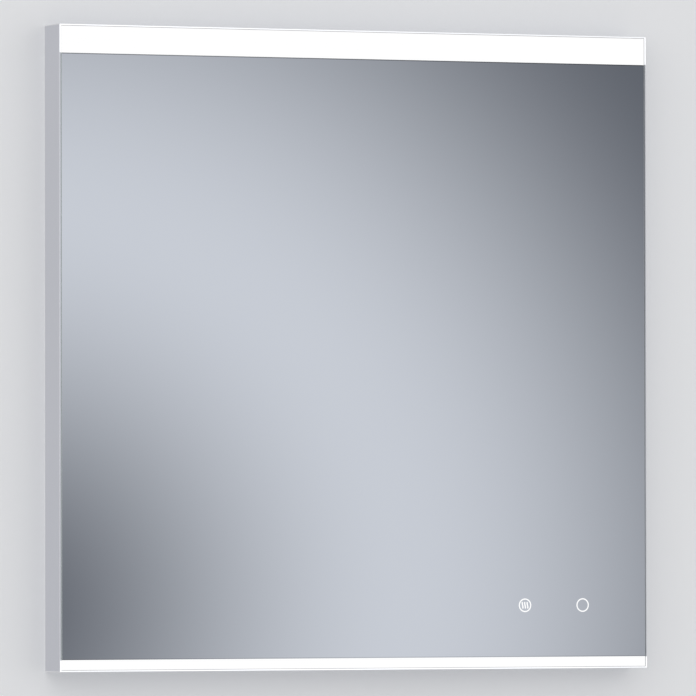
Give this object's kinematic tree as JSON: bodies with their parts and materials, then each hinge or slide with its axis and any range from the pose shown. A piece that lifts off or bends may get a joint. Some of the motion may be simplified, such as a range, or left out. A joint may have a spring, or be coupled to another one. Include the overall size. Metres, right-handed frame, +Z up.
{
  "type": "lighted bathroom mirror",
  "caption": "Square wall mirror in a thin metal frame, lit by a wide band along the top and a narrow one along the bottom, with two touch rings.",
  "frame": {"origin": "centre of the wall rail's two slots, on the wall plane", "axes": "+X to the right as one looks at the mirror, +Y into the wall, +Z up"},
  "size_m": [0.8, 0.05, 0.8],
  "materials": {
    "clear_glass": "polished, satin over the light bands",
    "silver": "mirror, grey protective paint behind",
    "opal": "opal, lit from behind",
    "frame_aluminium": "satin anodised",
    "plain_aluminium": "mill finish",
    "galvanised_steel": "galvanised sheet",
    "zinc_screw": "bright zinc plated",
    "black_rubber": "matt",
    "foam_tape": "closed-cell foam",
    "circuit_board": "white solder resist",
    "led_chip": "phosphor",
    "white_plastic": "moulded",
    "black_plastic": "moulded",
    "grey_plastic": "moulded",
    "heating_film": "polyester film",
    "lead_sheath": "flexible sheath"
  },
  "bodies": {
    "wall_side": {"wall_rail": "plain_aluminium"},
    "mirror": {"bottom_diffuser": "opal", "bottom_led_board": "circuit_board", "bottom_leds": "led_chip", "bottom_light_lead": "lead_sheath", "bottom_light_tray": "plain_aluminium", "bumper_screws": "zinc_screw", "corner_key_screws": "zinc_screw", "corner_keys": "plain_aluminium", "cover_screws": "zinc_screw", "demister_feed_lead": "lead_sheath", "demister_lead": "lead_sheath", "demister_pad": "heating_film", "demister_sensor_case": "black_plastic", "driver_board": "circuit_board", "driver_case": "white_plastic", "driver_components": "black_plastic", "driver_lid": "white_plastic", "driver_screws": "zinc_screw", "frame_bottom": "frame_aluminium", "frame_left": "frame_aluminium", "frame_right": "frame_aluminium", "frame_top": "frame_aluminium", "gland_body": "black_plastic", "gland_locknut": "black_plastic", "gland_nut": "black_plastic", "gland_seal": "black_rubber", "glass_tape": "foam_tape", "hook_nuts": "zinc_screw", "hook_rail": "plain_aluminium", "hook_screws": "zinc_screw", "icon_windows": "opal", "lead_clips": "white_plastic", "light_feed_lead": "lead_sheath", "light_sensor_case": "black_plastic", "lower_cross_rail": "galvanised_steel", "mains_lead": "lead_sheath", "mirror_glass": "clear_glass", "rail_spacers": "zinc_screw", "rear_cover": "galvanised_steel", "sensor_boards": "circuit_board", "silver_backing": "silver", "support_pads": "foam_tape", "terminal_block": "grey_plastic", "terminal_box": "white_plastic", "terminal_lid": "galvanised_steel", "terminal_lid_screws": "zinc_screw", "top_diffuser": "opal", "top_led_board": "circuit_board", "top_leds": "led_chip", "top_light_lead": "lead_sheath", "top_light_tray": "plain_aluminium", "upper_cross_rail": "galvanised_steel", "wall_bumpers": "black_rubber"}
  },
  "joints": [
    {"name": "lift_off", "type": "slide", "parent": "wall_side", "child": "mirror", "axis": [0, 0, 1], "range_m": [0, 0.012]}
  ]
}
